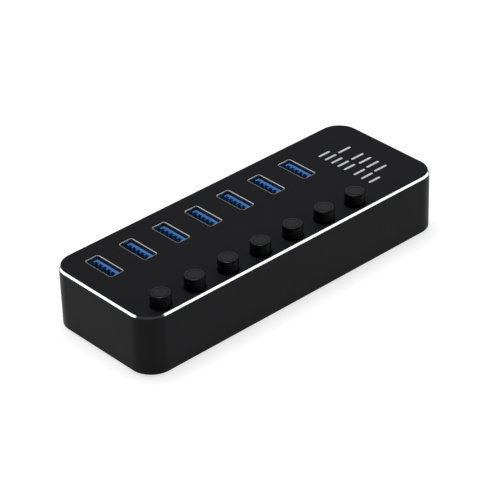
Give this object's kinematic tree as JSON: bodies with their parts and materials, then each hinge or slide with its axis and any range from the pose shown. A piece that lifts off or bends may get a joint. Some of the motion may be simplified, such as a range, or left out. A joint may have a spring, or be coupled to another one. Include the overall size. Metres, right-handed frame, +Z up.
{
  "type": "usb hub",
  "caption": "Slim black desktop USB hub with a row of upright blue type A sockets on top and a round latching push button beside each one.",
  "frame": {"origin": "middle of the case's footprint, on the plane that the rubber feet stand on", "axes": "+X along the length, to the end with the upstream socket and the power jack; -Y is the side with the buttons, +Y the side nearer the sockets; +Z up, the way the socket mouths face"},
  "size_m": [0.128, 0.0472, 0.0264],
  "materials": {
    "black_anodised": "bead blasted, black anodised, satin",
    "bright_cut": "diamond cut rim, polished and clear anodised",
    "black_moulded": "fine moulded grain",
    "pale_print": "thin screen-printed ink",
    "rubber": "matt",
    "zinc_steel": "zinc plated",
    "solder_mask": "green solder mask on glass epoxy",
    "chip_resin": "matt moulded epoxy",
    "nickel_can": "drawn nickel-plated can",
    "aluminium_can": "bright drawn can",
    "nickel_sheet": "nickel-plated steel sheet",
    "blue_insulator": "moulded, slightly glossy",
    "contact_gold": "thin gold plating",
    "switch_resin": "moulded nylon",
    "stem_resin": "moulded acetal",
    "button_resin": "moulded, satin",
    "spring_wire": "drawn spring wire",
    "jack_resin": "moulded",
    "jack_pin": "nickel-plated brass"
  },
  "bodies": {
    "housing": {"top_shell": "black_anodised", "bottom_cover": "black_moulded", "circuit_board": "solder_mask", "hub_chip": "chip_resin", "clock_crystal": "nickel_can", "input_capacitor": "aluminium_can", "upstream_socket_shell": "nickel_sheet", "upstream_socket_core": "blue_insulator", "power_jack_body": "jack_resin", "power_jack_pin": "jack_pin", "rubber_foot_1": "rubber", "cover_screw_1": "zinc_steel", "rubber_foot_2": "rubber", "cover_screw_2": "zinc_steel", "rubber_foot_3": "rubber", "cover_screw_3": "zinc_steel", "rubber_foot_4": "rubber", "cover_screw_4": "zinc_steel", "port_shell_1": "nickel_sheet", "port_tongue_1": "blue_insulator", "switch_body_1": "switch_resin", "switch_spring_1": "spring_wire", "port_shell_2": "nickel_sheet", "port_tongue_2": "blue_insulator", "switch_body_2": "switch_resin", "switch_spring_2": "spring_wire", "port_shell_3": "nickel_sheet", "port_tongue_3": "blue_insulator", "switch_body_3": "switch_resin", "switch_spring_3": "spring_wire", "port_shell_4": "nickel_sheet", "port_tongue_4": "blue_insulator", "switch_body_4": "switch_resin", "switch_spring_4": "spring_wire", "port_shell_5": "nickel_sheet", "port_tongue_5": "blue_insulator", "switch_body_5": "switch_resin", "switch_spring_5": "spring_wire", "port_shell_6": "nickel_sheet", "port_tongue_6": "blue_insulator", "switch_body_6": "switch_resin", "switch_spring_6": "spring_wire", "port_shell_7": "nickel_sheet", "port_tongue_7": "blue_insulator", "switch_body_7": "switch_resin", "switch_spring_7": "spring_wire"},
    "button_1": {"button_cap_1": "button_resin", "switch_plunger_1": "stem_resin"},
    "button_2": {"button_cap_2": "button_resin", "switch_plunger_2": "stem_resin"},
    "button_3": {"button_cap_3": "button_resin", "switch_plunger_3": "stem_resin"},
    "button_4": {"button_cap_4": "button_resin", "switch_plunger_4": "stem_resin"},
    "button_5": {"button_cap_5": "button_resin", "switch_plunger_5": "stem_resin"},
    "button_6": {"button_cap_6": "button_resin", "switch_plunger_6": "stem_resin"},
    "button_7": {"button_cap_7": "button_resin", "switch_plunger_7": "stem_resin"}
  },
  "joints": [
    {"name": "button_1_press", "type": "slide", "parent": "housing", "child": "button_1", "axis": [0, 0, -1], "range_m": [0, 0.0022], "stiffness_N_per_m": 100, "springref_m": -0.002, "deforming": ["switch_spring_1"]},
    {"name": "button_2_press", "type": "slide", "parent": "housing", "child": "button_2", "axis": [0, 0, -1], "range_m": [0, 0.0022], "stiffness_N_per_m": 100, "springref_m": -0.002, "deforming": ["switch_spring_2"]},
    {"name": "button_3_press", "type": "slide", "parent": "housing", "child": "button_3", "axis": [0, 0, -1], "range_m": [0, 0.0022], "stiffness_N_per_m": 100, "springref_m": -0.002, "deforming": ["switch_spring_3"]},
    {"name": "button_4_press", "type": "slide", "parent": "housing", "child": "button_4", "axis": [0, 0, -1], "range_m": [0, 0.0022], "stiffness_N_per_m": 100, "springref_m": -0.002, "deforming": ["switch_spring_4"]},
    {"name": "button_5_press", "type": "slide", "parent": "housing", "child": "button_5", "axis": [0, 0, -1], "range_m": [0, 0.0022], "stiffness_N_per_m": 100, "springref_m": -0.002, "deforming": ["switch_spring_5"]},
    {"name": "button_6_press", "type": "slide", "parent": "housing", "child": "button_6", "axis": [0, 0, -1], "range_m": [0, 0.0022], "stiffness_N_per_m": 100, "springref_m": -0.002, "deforming": ["switch_spring_6"]},
    {"name": "button_7_press", "type": "slide", "parent": "housing", "child": "button_7", "axis": [0, 0, -1], "range_m": [0, 0.0022], "stiffness_N_per_m": 100, "springref_m": -0.002, "deforming": ["switch_spring_7"]}
  ]
}
